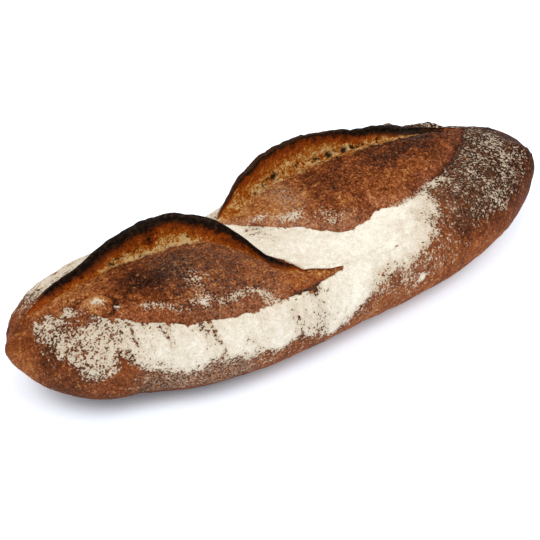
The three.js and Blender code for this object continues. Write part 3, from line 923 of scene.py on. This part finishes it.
def bakedCrust():
    # Rye and wheat crust, baked on stone: dry and matt, all freckled, gold where it tore, soot at the ears
    look = crustLook
    material, tree = emptyMaterial("bakedCrust")
    place = addNode(tree, "ShaderNodeTexCoord", {}, "Object")
    field = {name: addNode(tree, "ShaderNodeAttribute", {}, "Fac", attribute_name=name) for name in fields}
    upright = addNode(tree, "ShaderNodeVectorMath", {0: place, 1: look["upright"]}, operation="MULTIPLY")
    elsewhere = addNode(tree, "ShaderNodeVectorMath", {0: place, 1: look["elsewhere"]}, operation="ADD")
    source = {"streak": upright, "dust": elsewhere, "fineDust": elsewhere, "drift": elsewhere}
    speck = {}
    for name, size in look["speckle"].items():
        speck[name] = addNode(tree, "ShaderNodeTexNoise", {
            "Vector": source.get(name, place), "Scale": perSize(size),
            "Detail": look["speckleDetail"], "Roughness": look["speckleRough"]}, "Fac")
    total = {}
    for name, (start, weights) in look["sums"].items():
        total[name] = start
        for part, weight in weights.items():
            total[name] = addNode(tree, "ShaderNodeMath", {0: speck[part], 1: weight, 2: total[name]},
                                  operation="MULTIPLY_ADD")
    grain = total["grain"]
    edge = {}
    for name, (grainy, low, high) in look["edges"].items():
        ragged = addNode(tree, "ShaderNodeMath", {0: grain, 1: grainy, 2: field[name]},
                         operation="MULTIPLY_ADD")
        edge[name] = addNode(tree, "ShaderNodeMapRange", {
            "Value": ragged, "From Min": low, "From Max": high})

    # browned crust and crumb, redder along the torn edges
    contrast = addNode(tree, "ShaderNodeMapRange", {"Value": field["crumb"], **look["contrast"]})
    shade = addNode(tree, "ShaderNodeMath", {0: grain, 1: contrast, 2: field["tone"]},
                    operation="MULTIPLY_ADD")
    browned = addNode(tree, "ShaderNodeValToRGB", {0: shade}, stops=look["browned"])
    reddish = addNode(tree, "ShaderNodeValToRGB", {0: shade}, stops=look["reddish"])
    colour = addNode(tree, "ShaderNodeMix", {0: field["red"], 6: browned, 7: reddish}, 2, data_type="RGBA")

    # the golden tear darkens upwards to soot, in upright streaks
    streaked = addNode(tree, "ShaderNodeMath", {0: grain, 1: look["goldContrast"], 2: total["streaked"]},
                       operation="MULTIPLY_ADD")
    baked = addNode(tree, "ShaderNodeMath", {0: streaked, 1: field["baked"]}, operation="ADD")
    gold = addNode(tree, "ShaderNodeValToRGB", {0: baked}, stops=look["gold"])
    soot = addNode(tree, "ShaderNodeValToRGB", {0: speck["freckle"]}, stops=look["char"])
    # soot on the ears, then painted shade in the pores and the slit
    for name, over in (("torn", gold), ("char", soot), ("poreShade", linear(look["poreShade"]))):
        colour = addNode(tree, "ShaderNodeMix", {0: edge[name], 6: colour, 7: over}, 2, data_type="RGBA")

    # flour: a thin veil first, then specks that close up where it is thick
    bare = addNode(tree, "ShaderNodeMath", {0: 1.0, 1: edge["char"]}, operation="SUBTRACT")
    sand = addNode(tree, "ShaderNodeMapRange", {"Value": speck["fineDust"], **look["sand"]})
    veil = addNode(tree, "ShaderNodeMath", {0: field["haze"], 1: bare}, operation="MULTIPLY")
    veil = addNode(tree, "ShaderNodeMath", {0: veil, 1: sand}, operation="MULTIPLY")
    colour = addNode(tree, "ShaderNodeMix", {0: veil, 6: colour, 7: linear(look["veil"])}, 2,
                     data_type="RGBA")
    lying = addNode(tree, "ShaderNodeMix", {0: field["crumb"], 2: total["lying"], 3: total["sifted"]}, 0,
                    data_type="FLOAT")
    dusted = addNode(tree, "ShaderNodeMath", {0: lying, 1: field["flour"]}, operation="ADD")
    dusted = addNode(tree, "ShaderNodeMapRange", {"Value": dusted, **look["flourEdge"]})
    dusted = addNode(tree, "ShaderNodeMath", {0: dusted, 1: bare}, operation="MULTIPLY")
    thin = addNode(tree, "ShaderNodeMapRange", {"Value": field["flour"], **look["thinFlour"]})
    dusted = addNode(tree, "ShaderNodeMath", {0: dusted, 1: thin}, operation="MULTIPLY")
    depth = addNode(tree, "ShaderNodeMath", {0: field["flour"], 1: look["flourPale"], 2: total["depth"]},
                    operation="MULTIPLY_ADD")
    dust = addNode(tree, "ShaderNodeValToRGB", {0: depth}, stops=look["flour"])
    colour = addNode(tree, "ShaderNodeMix", {0: dusted, 6: colour, 7: dust}, 2, data_type="RGBA")

    rough = addNode(tree, "ShaderNodeMapRange", {"Value": dusted, **look["roughness"]})
    raised = addNode(tree, "ShaderNodeMath", {0: dusted, 1: look["flourRaised"], 2: grain},
                     operation="MULTIPLY_ADD")
    bump = addNode(tree, "ShaderNodeBump", {"Height": raised, **look["bump"]})
    surface = addNode(tree, "ShaderNodeBsdfPrincipled", {
        "Base Color": colour, "Roughness": rough, "Normal": bump, **look["surface"]})
    addNode(tree, "ShaderNodeOutputMaterial", {"Surface": surface}, None)
    return material


loaf = buildLoaf()
loaf.data.materials.append(bakedCrust())
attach(loaf, "root")
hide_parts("loaf")
print("loaf built:", len(loaf.data.polygons), "faces")

# Camera at the photograph's viewing angle
cameraSet = {"azimuth": 37.13, "elevation": 35.0, "distance": 1100, "lens": 126.09, "sensor": 36,
             "target": (-32.67, -11.74, 40)}


def placeCamera():
    turn, tilt = math.radians(cameraSet["azimuth"]), math.radians(cameraSet["elevation"])
    right = Vector((math.cos(turn), -math.sin(turn), 0))
    ahead = Vector((math.sin(turn) * math.cos(tilt), math.cos(turn) * math.cos(tilt), -math.sin(tilt)))
    data = bpy.data.cameras.new("viewCamera")
    data.lens = cameraSet["lens"]
    data.sensor_width = cameraSet["sensor"]
    camera = addObject("viewCamera", data)
    at = (Vector(cameraSet["target"]) - ahead * cameraSet["distance"]) * mm
    axes = Matrix((right, right.cross(ahead), -ahead)).transposed().to_4x4()
    camera.matrix_world = Matrix.Translation(at) @ axes
    bpy.context.scene.camera = camera


placeCamera()
print("camera placed")

# White paper floor and soft light from all round, a little stronger from above; the paper also glows, with a
# painted shadow where the loaf stands
studioSet = {
    "floorSide": 20000,
    "floor": "#E3EBF5",
    "paper": {"Roughness": 0.95, "Specular IOR Level": 0.0},
    # bluish tint of the glow, which colours the painted shadow
    "shadowGlowColour": "#EEF2FA",
    # painted shadow: the paper's glow falls where the loaf hides the sky
    "paintedShadowGlow": {"From Min": 0.08, "From Max": 0.38, "To Min": 0.06, "To Max": 0.62},  # by the share of open sky
    "shadowReach": 24,
    # painted side light: the glow rises towards the right end, so the painted shadow is lighter there and
    # darker at the left
    "paintedSideLight": 0.095,  # the shadow is this much lighter at the right end and darker at the left
    "sky": 0.82,
    "skyColour": "#FFFFFF",
    "softbox": 3.2,
    "softboxSize": 900,
    "softboxAt": (0, -200, 1000),
}


def paintedShadowPaper():
    # Matt white paper that glows to white under soft light; its glow is dimmed where the loaf stands, a
    # painted shadow, and rises towards the right end, painted side light
    look = studioSet
    material, tree = emptyMaterial("paintedShadowPaper")
    # painted shadow: the glow follows the share of open sky, shifted along x as painted side light
    unshaded = addNode(tree, "ShaderNodeAmbientOcclusion", {"Distance": look["shadowReach"] * mm}, "AO")
    place = addNode(tree, "ShaderNodeTexCoord", {}, "Object")
    along = addNode(tree, "ShaderNodeSeparateXYZ", {0: place}, "X")
    half = loafForm["length"] / 2 * mm
    side = addNode(tree, "ShaderNodeMapRange", {
        "Value": along, "From Min": -half, "From Max": half,
        "To Min": -look["paintedSideLight"], "To Max": look["paintedSideLight"]})
    unshaded = addNode(tree, "ShaderNodeMath", {0: unshaded, 1: side}, operation="ADD")
    paintedShadowGlow = addNode(tree, "ShaderNodeMapRange", {"Value": unshaded, **look["paintedShadowGlow"]})
    surface = addNode(tree, "ShaderNodeBsdfPrincipled", {
        "Base Color": linear(look["floor"]), "Emission Color": linear(look["shadowGlowColour"]),
        "Emission Strength": paintedShadowGlow, **look["paper"]})
    addNode(tree, "ShaderNodeOutputMaterial", {"Surface": surface}, None)
    return material


def buildStudio():
    side = studioSet["floorSide"] * mm / 2
    corners = [(-side, -side, 0), (side, -side, 0), (side, side, 0), (-side, side, 0)]
    mesh = bpy.data.meshes.new("studioFloor")
    mesh.from_pydata(corners, [], [(0, 1, 2, 3)])
    mesh.materials.append(paintedShadowPaper())
    floor = addObject("studioFloor", mesh)
    world = bpy.data.worlds.new("studioSky")
    world.use_nodes = True
    sky = world.node_tree.nodes["Background"].inputs
    sky["Color"].default_value = linear(studioSet["skyColour"])
    sky["Strength"].default_value = studioSet["sky"]
    bpy.context.scene.world = world
    lamp = bpy.data.lights.new("softbox", "AREA")
    lamp.energy = studioSet["softbox"]
    lamp.size = studioSet["softboxSize"] * mm
    softbox = addObject("softbox", lamp)
    at = Vector(studioSet["softboxAt"]) * mm
    softbox.matrix_world = Matrix.Translation(at) @ (-at).to_track_quat("-Z", "Y").to_matrix().to_4x4()
    bpy.context.scene.view_settings.view_transform = "Standard"


buildStudio()
print("studio ready")
